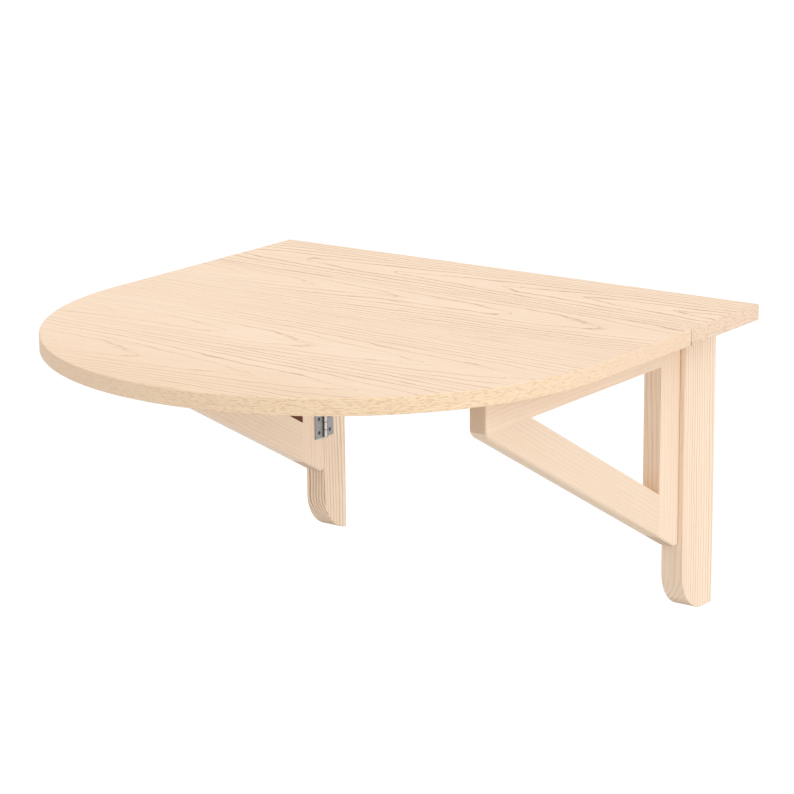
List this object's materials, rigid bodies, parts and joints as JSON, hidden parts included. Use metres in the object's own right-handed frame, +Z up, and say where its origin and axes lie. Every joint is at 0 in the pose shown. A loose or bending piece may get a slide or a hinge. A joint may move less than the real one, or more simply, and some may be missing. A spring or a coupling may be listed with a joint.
{
  "type": "wall mounted drop leaf table",
  "caption": "Wall mounted table with a fixed shelf, a half round leaf on a long hinge, and triangular gates on posts that swing out to carry the leaf.",
  "frame": {"origin": "centre of the fixed shelf's back face, on the wall", "axes": "+Z up, +Y into the wall, +X to the right along the wall as seen from the room"},
  "size_m": [0.8, 0.8, 0.434],
  "materials": {
    "board_wood": "pale natural wood with long cathedral grain, clear satin lacquer",
    "band_wood": "slightly yellower pale wood lipping, grain along the edge, clear satin lacquer",
    "post_wood": "pale solid wood, upright grain, clear satin lacquer",
    "gate_wood": "pale solid wood, grain along each member, clear satin lacquer",
    "dowel_wood": "plain turned dowel",
    "hinge_steel": "dull zinc plated steel",
    "pin_steel": "dull steel",
    "screw_steel": "zinc plated steel"
  },
  "bodies": {
    "wall_frame": {"shelf_board": "board_wood", "shelf_left_end_band": "band_wood", "shelf_right_end_band": "band_wood", "shelf_dowels": "dowel_wood", "leaf_hinge_shelf_plate": "hinge_steel", "leaf_hinge_pin": "pin_steel", "leaf_hinge_shelf_screws": "screw_steel", "left_post": "post_wood", "left_post_hinge_screws": "screw_steel", "left_lower_hinge_post_leaf": "hinge_steel", "left_lower_hinge_pin": "pin_steel", "left_upper_hinge_post_leaf": "hinge_steel", "left_upper_hinge_pin": "pin_steel", "right_post": "post_wood", "right_post_hinge_screws": "screw_steel", "right_lower_hinge_post_leaf": "hinge_steel", "right_lower_hinge_pin": "pin_steel", "right_upper_hinge_post_leaf": "hinge_steel", "right_upper_hinge_pin": "pin_steel"},
    "leaf": {"leaf_board": "board_wood", "leaf_edge_band": "band_wood", "leaf_hinge_leaf_plate": "hinge_steel", "leaf_hinge_leaf_screws": "screw_steel"},
    "left_gate": {"left_gate_stile": "gate_wood", "left_gate_rail": "gate_wood", "left_gate_brace": "gate_wood", "left_gate_dowels": "dowel_wood", "left_gate_hinge_screws": "screw_steel", "left_lower_hinge_gate_leaf": "hinge_steel", "left_upper_hinge_gate_leaf": "hinge_steel"},
    "right_gate": {"right_gate_stile": "gate_wood", "right_gate_rail": "gate_wood", "right_gate_brace": "gate_wood", "right_gate_dowels": "dowel_wood", "right_gate_hinge_screws": "screw_steel", "right_lower_hinge_gate_leaf": "hinge_steel", "right_upper_hinge_gate_leaf": "hinge_steel"}
  },
  "joints": [
    {"name": "left_gate_swing", "type": "hinge", "parent": "wall_frame", "child": "left_gate", "pos_m": [-0.2975, -0.0525, 0], "axis": [0, 0, 1], "range_deg": [0, 90]},
    {"name": "right_gate_swing", "type": "hinge", "parent": "wall_frame", "child": "right_gate", "pos_m": [0.2975, -0.0815, 0], "axis": [0, 0, -1], "range_deg": [0, 90]},
    {"name": "leaf_hinge", "type": "hinge", "parent": "wall_frame", "child": "leaf", "pos_m": [0, -0.18, -0.009], "axis": [1, 0, 0], "range_deg": [-2, 0]}
  ]
}
